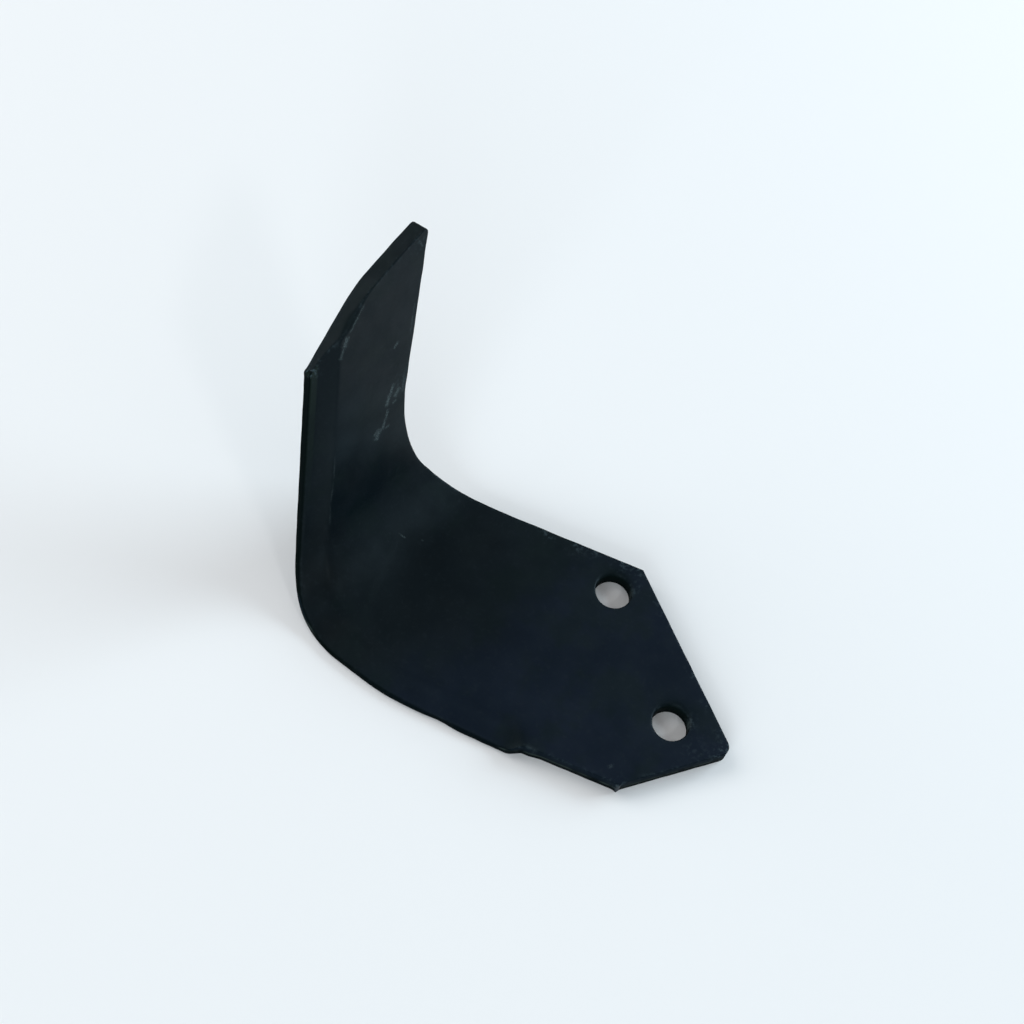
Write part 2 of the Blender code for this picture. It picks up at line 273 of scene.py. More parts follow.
# Noise that isn't faded: scale, detail and roughness
STRAY_NOISE = (40.0, 4.0, 0.55)
FRAY_NOISE = (150.0, 3.0, 0.7)
WAVY_NOISE = (130.0, 2.0, 0.55)
GRAIN_NOISE = (1300.0, 2.0, 0.55)
FLOOR_NOISE = (2.0, 2.0, 0.55)

# How much of each tone shows where it is strongest
GREENER_SHARE = 0.55
SPECK_SHARE = 0.20
WALL_SHARE = 0.8
RECESS_SHARE = 0.9
EDGE_CHIP_SHARE = 0.30
RUBBED_CHIP_SHARE = 0.75
CHIP_SHARE = 0.60

# Roughness that sheared and chipped places add, and the bumps' strengths and depths
SHEARED_ROUGHNESS = 0.15
CHIPPED_ROUGHNESS = 0.15
WAVY_BUMP = (0.25, 0.4 * MM)
GRAIN_BUMP = (0.18, 0.08 * MM)

# Gloss: levels of the brightest and the dullest paint, dullness round the holes, refraction and tint
GLOSS_LEVELS = (0.5, 0.04)
RECESS_DULLNESS = 0.8
GLOSS_IOR = 1.232
GLOSS_TINT = (0.72, 0.92, 1.0, 1.0)

# Units of the flat blank's UV map in a metre
PLAN_UNITS = 10.0

# Line in the flat blank that parts the bluer paint of the shank from the duller paint of the bend
TONE_LINE_PLACE = (32.0 * MM, -30.0 * MM)
TONE_LINE_ANGLE = math.radians(54.0)

# How far noise moves that line, and the limits of the change across it, both in units of the UV map
TONE_LINE_STRAY = 0.24
TONE_LINE_FADE = (0.02, 0.30)

# Grid of the flat blank: stations along and across the bar, and the room and rings round each hole
ALONG = 270
ACROSS = 104
HOLE_BLOCK = 12.0 * MM
HOLE_RINGS = 12

# Places along and across the grid where its lines crowd: share of the way, width and gain
ALONG_FOCUSES = [(0.175, 0.03, 1.5), (0.48, 0.12, 0.5)]
ACROSS_FOCUSES = [(0.94, 0.09, 1.6), (0.64, 0.02, 1.5)]

# Steps in which that crowding is summed
CROWDING_STEPS = 4001

# How far the spokes round a hole keep the angles of the gap's outline, and how its rings crowd inward
SEEN_SHARE = 0.35
RING_CROWDING = 1.7

# Camera at the photograph's place, with its lens, sensor and near limit
CAMERA_PLACE = (0.02467, 0.34314, 0.68542)
CAMERA_RIGHT = (-0.924123, -0.355267, 0.140650)
CAMERA_FORWARD = (0.054755, -0.487432, -0.871443)
CAMERA_LENS = 70.3125
SENSOR = 36.0
NEAR_LIMIT = 0.01

# Floor: half its side, lines of its grid, its drop under the blade, its tones, roughness and gloss
FLOOR_HALF = 3.0
FLOOR_LINES = 13
FLOOR_DROP = 0.2 * MM
FLOOR_TONES = (0.86, 0.86, 0.86, 1.0), (0.84, 0.845, 0.85, 1.0)
FLOOR_ROUGHNESS = 0.9
FLOOR_GLOSS = 0.1

# Even surroundings: colour and strength
SURROUNDINGS = (0.96, 0.98, 1.0, 1.0)
SURROUNDINGS_STRENGTH = 0.32

# Soft lights: name, bearing from X and rise above the floor in degrees, size, power and colour
LIGHT_TARGET = (0.05, 0.0, 0.02)
LIGHT_DISTANCE = 1.7
SOFT_LIGHTS = [
    ("back", 225.0, 22.0, 1.0, 26.5, (0.76, 0.91, 1.0)),
    ("front", 90.0, 22.0, 1.0, 13.5, (0.80, 0.92, 1.0)),
    ("side", 0.0, 22.0, 1.0, 8.5, (1.0, 1.0, 1.0)),
    ("high side", 337.0, 45.0, 1.0, 7.5, (1.0, 1.0, 1.0)),
    ("glint", 143.0, 48.0, 0.2, 2.0, (1.0, 1.0, 1.0)),
]


def direction(angle):
    """Unit vector at an angle from X."""
    return np.array([math.cos(angle), math.sin(angle)])


def left_of(vectors):
    """Vectors turned a quarter turn to their left."""
    return np.stack([-vectors[..., 1], vectors[..., 0]], axis=-1)


def unit(vectors):
    """Vectors scaled to length one."""
    return vectors / np.maximum(np.linalg.norm(vectors, axis=-1, keepdims=True), 1e-12)


def smooth_step(low, high, value):
    """Cubic rise from 0 at low to 1 at high."""
    t = np.clip((value - low) / (high - low), 0.0, 1.0)
    return t * t * (3.0 - 2.0 * t)


def ripple(points, wavelength, seed):
    """Smooth unevenness between about -1 and 1: a sum of plane waves of like wavelengths."""
    rng = np.random.default_rng(seed)
    turns = rng.uniform(0.0, 2.0 * math.pi, RIPPLE_WAVES)
    phases = rng.uniform(0.0, 2.0 * math.pi, RIPPLE_WAVES)
    lengths = wavelength * rng.uniform(*RIPPLE_SPREAD, RIPPLE_WAVES)
    waves = np.stack([np.cos(turns), np.sin(turns)]) * (2.0 * math.pi / lengths)
    return np.sin(points[..., :2] @ waves + phases).sum(axis=-1) / (RIPPLE_WAVES / 2.0)


def line_crossing(normal_a, offset_a, normal_b, offset_b):
    """Point where two lines meet, each given by its unit normal and its distance from the origin."""
    return np.linalg.solve(np.stack([normal_a, normal_b]), np.array([offset_a, offset_b]))


def outline_corners():
    """Ring of corners, counterclockwise: each a row of place and radius."""
    back = np.column_stack([BACK_CORNERS[:, 0], -BACK_OFFSET - BACK_CORNERS[:, 1], BACK_CORNERS[:, 2]])
    cutting = CUTTING_CORNERS + (0.0, FRONT_OFFSET, 0.0)
    spread = SPREAD_CORNERS + (0.0, FRONT_OFFSET, 0.0)
    tip, nose = back[-1, :2], cutting[0, :2]
    along_end = unit(nose - tip)
    places = tip + END_CORNERS[:, :1] * along_end - END_CORNERS[:, 1:2] * left_of(along_end)
    ends = np.column_stack([places, END_CORNERS[:, 2]])
    side = left_of(direction(SIDE_ANGLE))
    rear = left_of(direction(REAR_ANGLE))
    front_corner = line_crossing(np.array([0.0, 1.0]), FRONT_OFFSET, rear, REAR_OFFSET)
    rear_corner = line_crossing(rear, REAR_OFFSET, side, SIDE_OFFSET)
    side_corner = line_crossing(side, SIDE_OFFSET, np.array([0.0, -1.0]), BACK_OFFSET)
    shank = np.array([
        (*front_corner, SHARP),
        (*rear_corner, REAR_CORNER_RADIUS),
        (*side_corner, SHARP),
    ])
    return np.concatenate([back, ends, cutting, spread, shank])


def fillet(before, corner, after, radius):
    """Arc of a circle that touches both sides of a corner, held short enough for the shorter side."""
    back, ahead = unit(before - corner), unit(after - corner)
    room = FILLET_ROOM * min(np.linalg.norm(before - corner), np.linalg.norm(after - corner))
    half = math.acos(np.clip(back @ ahead, -1.0, 1.0)) / 2.0
    if radius <= 0.0:
        return corner[None]
    cut = min(radius / math.tan(half), room)
    fitted = cut * math.tan(half)
    centre = corner + unit(back + ahead) * fitted / math.sin(half)
    start = corner + back * cut - centre
    sweep = math.copysign(math.pi - 2.0 * half, -(back[0] * ahead[1] - back[1] * ahead[0]))
    angles = math.atan2(start[1], start[0]) + sweep * np.linspace(0.0, 1.0, FILLET_POINTS)
    return centre + fitted * np.column_stack([np.cos(angles), np.sin(angles)])


def rounded(corners, closed):
    """Polyline through corners with a fillet at each; an open one keeps its two ends as they are."""
    count = len(corners)
    arcs = []
    for i in range(count):
        if not closed and i in (0, count - 1):
            arcs.append(corners[i : i + 1, :2])
            continue
        before, after = corners[i - 1, :2], corners[(i + 1) % count, :2]
        arcs.append(fillet(before, corners[i, :2], after, corners[i, 2]))
    return np.concatenate(arcs)


def stretch(ring, start, stop):
    """Part of a closed polyline from the point nearest one place to the point nearest another."""
    first = int(np.argmin(np.linalg.norm(ring - start, axis=1)))
    last = int(np.argmin(np.linalg.norm(ring - stop, axis=1)))
    turned = np.roll(ring, -first, axis=0)
    return turned[: (last - first) % len(ring) + 1]


def spaced(path, shares):
    """Points of a polyline at given shares of its length."""
    reach = np.concatenate([[0.0], np.cumsum(np.linalg.norm(np.diff(path, axis=0), axis=1))])
    return np.column_stack([np.interp(shares * reach[-1], reach, path[:, k]) for k in (0, 1)])


def crowded(count, focuses):
    """Shares from 0 to 1 that lie closer together round each focus, from the sum of their densities."""
    t = np.linspace(0.0, 1.0, CROWDING_STEPS)
    density = np.ones_like(t)
    for centre, width, gain in focuses:
        density += gain * np.exp(-(((t - centre) / width) ** 2))
    total = np.concatenate([[0.0], np.cumsum((density[1:] + density[:-1]) / 2.0)])
    return np.interp(np.linspace(0.0, 1.0, count), total / total[-1], t)


def distance_to(path, points, closed):
    """Distance from points to a polyline, positive to its left, and the length along it to that place."""
    ends = np.roll(path, -1, axis=0) if closed else path[1:]
    starts = path if closed else path[:-1]
    runs = ends - starts
    lengths = np.linalg.norm(runs, axis=1)
    keep = lengths > 1e-9
    starts, runs, lengths = starts[keep], runs[keep], lengths[keep]
    before = np.concatenate([[0.0], np.cumsum(lengths)[:-1]])
    best = np.full(len(points), np.inf)
    signed = np.zeros(len(points))
    along = np.zeros(len(points))
    for start, run, length, offset in zip(starts, runs, lengths, before):
        away = points - start
        share = np.clip(away @ run / length**2, 0.0, 1.0)
        gap = np.linalg.norm(away - share[:, None] * run, axis=1)
        near = gap < best
        side = np.sign(run[0] * away[:, 1] - run[1] * away[:, 0])
        best = np.where(near, gap, best)
        signed = np.where(near, gap * side, signed)
        along = np.where(near, offset + share * length, along)
    return signed, along


def bevel_path():
    """Line of the cutting edge that the bevel follows: from past the nose to past the notch."""
    cutting = CUTTING_CORNERS + (0.0, FRONT_OFFSET, 0.0)
    shoulder = SPREAD_CORNERS[3] + (0.0, FRONT_OFFSET, 0.0)
    past_nose = cutting[0, :2] + unit(cutting[0, :2] - cutting[1, :2]) * BEVEL_OVERRUN
    past_notch = shoulder[:2] + unit(shoulder[:2] - cutting[-1, :2]) * BEVEL_RUN_IN / 2.0
    ends = [np.append(past_nose, SHARP)], [np.append(past_notch, SHARP)]
    return rounded(np.concatenate([ends[0], cutting[1:], ends[1]]), closed=False)


def bevel_height(depth, blunt):
    """Height of the bevel over its depth from the edge: facet, then a face hollow as a parabola.

    Where blunt is 1 the lip is taller and the facet wider and flatter; where it is 0 they are plain.
    """
    lip = LIP_HEIGHT + BLUNT_LIP * blunt
    top = FACET_HEIGHT + BLUNT_FACET_HEIGHT * blunt
    width = FACET_WIDTH + BLUNT_FACET_WIDTH * blunt
    facet = lip + depth * (top - lip) / width
    t = (depth - width) / (BEVEL_WIDTH - width)
    face = top + t * (THICKNESS - top)
    hollow = 4.0 * BEVEL_HOLLOW * np.clip(t, 0.0, 1.0) * (1.0 - np.clip(t, 0.0, 1.0))
    return np.where(depth < width, facet, face - hollow)


def bluntness(along):
    """1 at the nose, falling smoothly to 0 at the end of the blunter lip's run."""
    return 1.0 - smooth_step(BEVEL_OVERRUN, BEVEL_OVERRUN + BLUNT_RUN, along)


def smooth_least(a, b, rounding):
    """The lesser of two heights, blended by a parabola where they come within the rounding."""
    h = np.clip(0.5 + 0.5 * (b - a) / rounding, 0.0, 1.0)
    return b + (a - b) * h - rounding * h * (1.0 - h)


def hole_centres():
    """Centres of the two bolt holes."""
    half = direction(HOLE_LINE_ANGLE) * HOLE_SPACING / 2.0
    return [half, -half]


def upper_height(points):
    """Height of the upper face: the plate, wavy from forging, dished at the holes, under the bevel."""
    path = bevel_path()
    depth, along = distance_to(path, points, closed=False)
    length = np.linalg.norm(np.diff(path, axis=0), axis=1).sum()
    left = np.clip(1.0 - (length - along) / BEVEL_RUN_IN, 0.0, 1.0)
    depth = depth + BEVEL_RUN_IN_DEPTH * left**2
    plate = THICKNESS + LONG_WAVE_HEIGHT * ripple(points, *LONG_WAVES)
    plate = plate + SHORT_WAVE_HEIGHT * ripple(points, *SHORT_WAVES)
    for centre in hole_centres():
        away = np.maximum(np.linalg.norm(points - centre, axis=1) - HOLE_RADIUS, 0.0)
        plate = plate - HOLE_DISH * np.exp(-away / HOLE_DISH_REACH)
    bevel = bevel_height(depth, bluntness(along)) + BEVEL_WAVE_HEIGHT * ripple(points, *BEVEL_WAVES)
    to_front = smooth_step(*CREST_CHANGE, along / length)
    rounding = WING_CREST_ROUNDING + (FRONT_CREST_ROUNDING - WING_CREST_ROUNDING) * to_front
    return smooth_least(bevel, plate, rounding)


def lower_height(points):
    """Height of the underside: flat, with shallow hollows left by forging."""
    patches = smooth_step(-1.0, 1.0, ripple(points, *HOLLOW_PATCHES))
    return HOLLOW_DEPTH * (1.0 + ripple(points, *HOLLOWS)) * patches


def bent(flat):
    """Place of flat points after the bend: a roll about the inner radius, then the straight wing."""
    across = direction(BEND_SLANT - math.pi / 2.0)
    axis = direction(BEND_SLANT)
    length = (BEND_INNER_RADIUS + THICKNESS / 2.0) * BEND_ANGLE
    travel = flat[:, :2] @ across - BEND_START
    turn = np.clip(travel / length, 0.0, 1.0) * BEND_ANGLE
    straight = travel - np.clip(travel, 0.0, length)
    radius = BEND_INNER_RADIUS + THICKNESS - flat[:, 2]
    reach = BEND_START + radius * np.sin(turn) + straight * np.cos(turn)
    height = BEND_INNER_RADIUS + THICKNESS - radius * np.cos(turn) + straight * np.sin(turn)
    place = np.outer(reach, across) + np.outer(flat[:, :2] @ axis, axis)
    return np.column_stack([place, height])


def rim(index):
    """Ring of indices round a grid of them, counterclockwise from its first row and column."""
    return np.concatenate([index[:-1, 0], index[-1, :-1], index[:0:-1, -1], index[0, :0:-1]])


def coons(ring):
    """Grid filled in from the ring round it: the two ruled surfaces less the bilinear one."""
    count, rows = ALONG - 1, ACROSS - 1
    back = ring[: count + 1]
    end = ring[count : count + rows + 1]
    front = ring[count + rows : 2 * count + rows + 1][::-1]
    shank = np.concatenate([ring[2 * count + rows :], ring[:1]])[::-1]
    u = ALONG_SHARES[:, None, None]
    v = ACROSS_SHARES[None, :, None]
    ruled = (1.0 - v) * back[:, None] + v * front[:, None] + (1.0 - u) * shank[None] + u * end[None]
    corners = (
        (1.0 - u) * (1.0 - v) * back[0] + u * (1.0 - v) * back[-1]
        + (1.0 - u) * v * front[0] + u * v * front[-1]
    )
    return ruled - corners


ALONG_SHARES = crowded(ALONG, ALONG_FOCUSES)
ACROSS_SHARES = crowded(ACROSS, ACROSS_FOCUSES)
SIDE_SHARES = (ALONG_SHARES, ACROSS_SHARES, 1.0 - ALONG_SHARES[::-1], 1.0 - ACROSS_SHARES[::-1])


class Shell:
    """Points in the flat and quads between them, gathered block by block."""

    def __init__(self):
        self.blocks = []
        self.quads = []
        self.count = 0

    def points(self, plan, height):
        """Add points, each from its place in plan and its height, and return their indices."""
        plan = np.asarray(plan).reshape(-1, 2)
        height = np.broadcast_to(height, len(plan))
        self.blocks.append(np.column_stack([plan, height]))
        self.count += len(plan)
        return np.arange(self.count - len(plan), self.count)

    def grid(self, index, keep, up):
        """Quads between neighbours in a grid of indices, facing up or down, where keep is true."""
        a, b, c, d = index[:-1, :-1], index[1:, :-1], index[1:, 1:], index[:-1, 1:]
        quads = np.stack([a, b, c, d], axis=-1)[keep]
        self.quads.append(quads if up else quads[:, ::-1])

    def band(self, first, second):
        """Quads between two closed rings of indices, facing right of the way the first one runs."""
        nxt, after = np.roll(first, -1), np.roll(second, -1)
        self.quads.append(np.column_stack([second, after, nxt, first]))


def mitred(ring):
    """Inward direction at each point of a ring, long enough to move both its sides by one."""
    before = left_of(unit(ring - np.roll(ring, 1, axis=0)))
    after = left_of(unit(np.roll(ring, -1, axis=0) - ring))
    middle = unit(before + after)
    return middle / np.maximum((middle * after).sum(axis=1, keepdims=True), MITRE_LEAST)


def four_corners():
    """Corners that part the outline into back edge, wing end, cutting edge and shank end."""
    corners = outline_corners()
    return corners[-1, :2], corners[2, :2], corners[5, :2], corners[-3, :2]


def blank_ring():
    """Ring of points on the blank's outline, spaced side by side."""
    outline = rounded(outline_corners(), closed=True)
    stops = four_corners()
    sides = []
    for k, shares in enumerate(SIDE_SHARES):
        sides.append(spaced(stretch(outline, stops[k], stops[(k + 1) % 4]), shares)[:-1])
    return np.concatenate(sides)


def inset_ring(ring, inward, amount):
    """Ring moved inward by an amount at each point, its sides cut off where they cross and spaced anew."""
    moved = ring + unit(inward) * amount[:, None]
    firsts = np.cumsum([0] + [len(shares) - 1 for shares in SIDE_SHARES])
    sides = []
    for k, shares in enumerate(SIDE_SHARES):
        first, last = firsts[k], firsts[k + 1] % len(ring)
        start = ring[first] + inward[first] * amount[first]
        stop = ring[last] + inward[last] * amount[last]
        inner = moved[first + 1 : firsts[k + 1]]
        ahead = ring[first + 1] - ring[first]
        before = ring[last] - ring[last - 1]
        inner = inner[((inner - start) @ ahead > 0.0) & ((stop - inner) @ before > 0.0)]
        sides.append(spaced(np.vstack([start, inner, stop]), shares)[:-1])
    return np.concatenate(sides)


def ragged(ring, inward):
    """Outline as the shears and the hammer left it: faintly uneven, with a burr at two corners."""
    out = RAGGED_HEIGHT * ripple(ring, *RAGGED_EDGE) - RAGGED_INSET
    nose, front_corner = four_corners()[2:]
    for corner, size in ((nose, NOSE_BURR), (front_corner, FRONT_BURR)):
        away = np.linalg.norm(ring - corner, axis=1)
        out = out + size * np.exp(-((away / BURR_REACH) ** 2))
    return ring - unit(inward) * out[:, None]


def hole_block(plan, centre):
    """Rows and columns of the grid that enclose a hole with room to spare."""
    near = np.linalg.norm(plan - centre, axis=2) < HOLE_BLOCK
    rows = np.flatnonzero(near.any(axis=1))
    columns = np.flatnonzero(near.any(axis=0))
    return rows[0], rows[-1], columns[0], columns[-1]


def rim_roundness(angles):
    """1 where a hole's rim is roundest, falling to 0 opposite as the cube of a raised cosine."""
    return (0.5 + 0.5 * np.cos(angles - ROUND_RIM_ANGLE)) ** 3


def rim_radius(angles):
    """Radius of a hole's rounded rim at angles round it."""
    return SHARP_RIM + (ROUND_RIM - SHARP_RIM) * rim_roundness(angles)


def upper_rim(angles):
    """Radius of the circle where the upper face meets a hole's rim."""
    return HOLE_RADIUS + rim_radius(angles)


def lower_rim(angles):
    """Radius of the circle where the underside meets a hole's edge."""
    return np.full(len(angles), HOLE_RADIUS + LOW_EDGE_RADIUS)


def hole_rings(shell, plan, index, block, centre, radius_at, height_of, up):
    """Fill a gap in the grid round a hole with rings that turn from the gap's outline to a circle."""
    first_row, last_row, first_column, last_column = block
    previous = rim(index[first_row : last_row + 1, first_column : last_column + 1])
    outer = plan.reshape(-1, 2)[previous - index[0, 0]]
    seen = np.unwrap(np.arctan2(*(outer - centre).T[::-1]))
    even = 2.0 * math.pi * np.arange(len(outer)) / len(outer)
    angles = SEEN_SHARE * seen + (1.0 - SEEN_SHARE) * (even + (seen - even).mean())
    circle = centre + radius_at(angles)[:, None] * np.column_stack([np.cos(angles), np.sin(angles)])
    for k in range(1, HOLE_RINGS + 1):
        t = 1.0 - (1.0 - k / HOLE_RINGS) ** RING_CROWDING
        ring = (1.0 - t) * outer + t * circle
        current = shell.points(ring, height_of(ring))
        shell.band(current, previous) if up else shell.band(previous, current)
        previous = current
    return previous, angles


def hole_wall(shell, centre, angles, top_ring, low_ring):
    """Wall of a hole: rounded rim, straight bore and a small break at the bottom, as one profile."""
    spokes = np.column_stack([np.cos(angles), np.sin(angles)])
    radius = rim_radius(angles)
    previous = top_ring
    for k in range(1, RIM_STEPS + 1):
        turn = math.pi / 2.0 * k / RIM_STEPS
        ring = centre + (HOLE_RADIUS + radius * (1.0 - math.sin(turn)))[:, None] * spokes
        current = shell.points(ring, upper_height(ring) - radius * (1.0 - math.cos(turn)))
        shell.band(current, previous)
        previous = current
    top = shell.blocks[-1][:, 2]
    for k in range(1, WALL_STEPS + 1):
        share = k / WALL_STEPS
        ring = centre + HOLE_RADIUS * spokes
        current = shell.points(ring, top + (LOW_EDGE_RADIUS - top) * share)
        shell.band(current, previous)
        previous = current
    shell.band(low_ring, previous)


def edge_radii(ring):
    """Radii of the upper and lower edge along a ring: uneven, and larger above where it was hammered."""
    uneven = 1.0 + UNEVEN_SHARE * ripple(ring, *UNEVEN_ROUNDING)
    hammered = np.exp(-((np.linalg.norm(ring - HAMMERED_SPOT, axis=1) / HAMMERED_REACH) ** 2))
    return TOP_EDGE_RADIUS * uneven + HAMMERED_RADIUS * hammered, LOW_EDGE_RADIUS * uneven


def edge_wall(shell, ring, inward, top_ring, low_ring):
    """Wall round the blank: rounded upper edge, sheared face and rounded lower edge, as one profile."""
    radius, low = edge_radii(ring)
    previous = top_ring
    for k in range(EDGE_STEPS + 1):
        turn = math.pi / 2.0 * k / EDGE_STEPS
        plan = ring + inward * (radius * (1.0 - math.sin(turn)))[:, None]
        height = upper_height(plan) - radius * (1.0 - math.cos(turn))
        current = shell.points(plan, height)
        shell.band(previous, current)
        previous = current
    top = shell.blocks[-1][:, 2]
    for k in range(1, WALL_STEPS + 1):
        share = k / WALL_STEPS
        torn = TORN_DEPTH * ripple(ring + TORN_DRIFT * share, *TORN_WALL) * math.sin(math.pi * share)
        plan = ring + inward * np.maximum(torn, 0.0)[:, None]
        current = shell.points(plan, top + (low - top) * share)
        shell.band(previous, current)
        previous = current
    for k in range(1, EDGE_STEPS + 1):
        turn = math.pi / 2.0 * k / EDGE_STEPS
        plan = ring + inward * (low * (1.0 - math.cos(turn)))[:, None]
        current = shell.points(plan, lower_height(plan) + low * (1.0 - math.sin(turn)))
        shell.band(previous, current)
        previous = current
    shell.band(previous, low_ring)


def make_blade_surface():
    """The whole blade as one closed surface: two grids, the wall between them and two bored holes."""
    ring = blank_ring()
    inward = mitred(ring)
    ring = ragged(ring, inward)
    top_radius, low_radius = edge_radii(ring)
    upper_plan = coons(inset_ring(ring, inward, top_radius + EDGE_SUPPORT))
    lower_plan = coons(inset_ring(ring, inward, low_radius + EDGE_SUPPORT))
    shell = Shell()
    shape = (ALONG, ACROSS)
    upper = shell.points(upper_plan, upper_height(upper_plan.reshape(-1, 2))).reshape(shape)
    lower = shell.points(lower_plan, lower_height(lower_plan.reshape(-1, 2))).reshape(shape)
    keep = np.ones((ALONG - 1, ACROSS - 1), bool)
    for centre in hole_centres():
        block = hole_block(upper_plan, centre)
        keep[block[0] : block[1], block[2] : block[3]] = False
        rim_ring, angles = hole_rings(
            shell, upper_plan, upper, block, centre, upper_rim, upper_height, up=True
        )
        low_rim, _ = hole_rings(
            shell, lower_plan, lower, block, centre, lower_rim, lower_height, up=False
        )
        hole_wall(shell, centre, angles, rim_ring, low_rim)
    shell.grid(upper, keep, up=True)
    shell.grid(lower, keep, up=False)
    edge_wall(shell, ring, inward, rim(upper), rim(lower))
    return np.concatenate(shell.blocks), np.concatenate(shell.quads)


def mesh_object(name, points, quads):
    """Mesh object from arrays of points and quads, with points that no quad uses left out."""
    used, compact = np.unique(quads, return_inverse=True)
    mesh = bpy.data.meshes.new(name)
    mesh.from_pydata(points[used].tolist(), [], compact.reshape(-1, 4).tolist())
    mesh.update()
    item = bpy.data.objects.new(name, mesh)
    bpy.context.scene.collection.objects.link(item)
    return item, used


def store(mesh, name, values):
    """Keep one number for each point of a mesh under a name that materials can read."""
    attribute = mesh.attributes.new(name, "FLOAT", "POINT")
    attribute.data.foreach_set("value", values.astype(np.float32))


def store_plan(mesh, plan):
    """UV map that holds each point's place in the flat blank."""
    layer = mesh.uv_layers.new(name="plan")
    corners = np.empty(len(mesh.loops), np.int32)
    mesh.loops.foreach_get("vertex_index", corners)
    layer.data.foreach_set("uv", (plan[corners] * PLAN_UNITS).astype(np.float32).ravel())


def spotted(plan, places):
    """Strength of the strongest of soft round spots at each point: a bell curve of distance over reach."""
    spots = places * (MM, MM, MM, 1.0)
    away = np.linalg.norm(plan[:, None] - spots[None, :, :2], axis=2)
    return (spots[:, 3] * np.exp(-((away / spots[:, 2]) ** 2))).max(axis=1)


def make_blade():
    """Fine blade with its worn edges marked, kept inside the solid's box."""
    flat, quads = make_blade_surface()
    low, high = (np.array(corner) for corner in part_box("blade"))
    placed = np.clip(bent(flat), low, high)
    blade, used = mesh_object("blade_steel", placed, quads)
    flat = flat[used]
    placed = placed[used]
    plan = flat[:, :2]
    outline = rounded(outline_corners(), closed=True)
    gap = np.abs(distance_to(outline, plan, closed=True)[0])
    spokes = plan[:, None] - np.array(hole_centres())[None]
    nearest = np.linalg.norm(spokes, axis=2).argmin(axis=1)
    spoke = spokes[np.arange(len(flat)), nearest]
    bore = np.maximum(np.linalg.norm(spoke, axis=1) - HOLE_RADIUS, 0.0)
    round_side = rim_roundness(np.arctan2(spoke[:, 1], spoke[:, 0]))
    thickness = upper_height(plan)
    drop = np.minimum(thickness - flat[:, 2], flat[:, 2])
    topside = smooth_step(*TOPSIDE_FADE, flat[:, 2] / thickness)
    side = 1.0 - smooth_step(*WALL_FADE, np.minimum(gap, bore))
    depth, along = distance_to(bevel_path(), plan, closed=False)
    # Mask of the painted highlight on the facet near the nose
    width = FACET_WIDTH + BLUNT_FACET_WIDTH
    facet = bluntness(along) ** 2 * (1.0 - smooth_step(FACET_FADE * width, width, depth)) * (1.0 - side)
    nose = four_corners()[2]
    on_end = (plan[:, 0] > nose[0] - END_MARGIN) & (plan[:, 1] < nose[1])
    edge = 1.0 - smooth_step(0.0, EDGE_WEAR, np.hypot(np.minimum(gap, bore), drop))
    lip = 1.0 - smooth_step(*LIP_FADE, depth)
    dull = np.maximum(LIP_DULLNESS * lip, spotted(plan, DULL_PLACES) * topside)
    numbers = {
        "edge": edge * (1.0 - LIP_SPARED * lip),
        "sheared": side,
        "matt": np.maximum(side * np.where(on_end, END_DULLNESS, 1.0), dull),
        "shank_wall": side * (gap < bore) * (placed[:, 2] < SHANK_WALL_TOP),
        "recess": np.exp(-bore / RECESS_REACH) * (RECESS_LEAST + (1.0 - RECESS_LEAST) * round_side),
        "topside": topside,
        # Mask of the painted highlight on the facet
        "facet": facet * topside,
        "rubbed": spotted(plan, RUBBED_PLACES) * topside,
        # Painted light on the wing and the bend
        "painted_light": spotted(plan, PAINTED_LIGHT_PLACES) * topside,
        # Painted shade over the heel and the bend
        "painted_shade": spotted(plan, PAINTED_SHADE_PLACES) * topside,
    }
    for name, values in numbers.items():
        store(blade.data, name, values)
    store_plan(blade.data, plan)
    blade.data.shade_smooth()
    return blade


def make_floor():
    """Plain pale floor, a wide flat grid under the blade."""
    side = np.linspace(-FLOOR_HALF, FLOOR_HALF, FLOOR_LINES)
    x, y = np.meshgrid(side, side, indexing="ij")
    shell = Shell()
    index = shell.points(np.column_stack([x.ravel(), y.ravel()]), -FLOOR_DROP).reshape(x.shape)
    shell.grid(index, np.ones((FLOOR_LINES - 1, FLOOR_LINES - 1), bool), up=True)
    return mesh_object("floor", shell.blocks[0], shell.quads[0])[0]


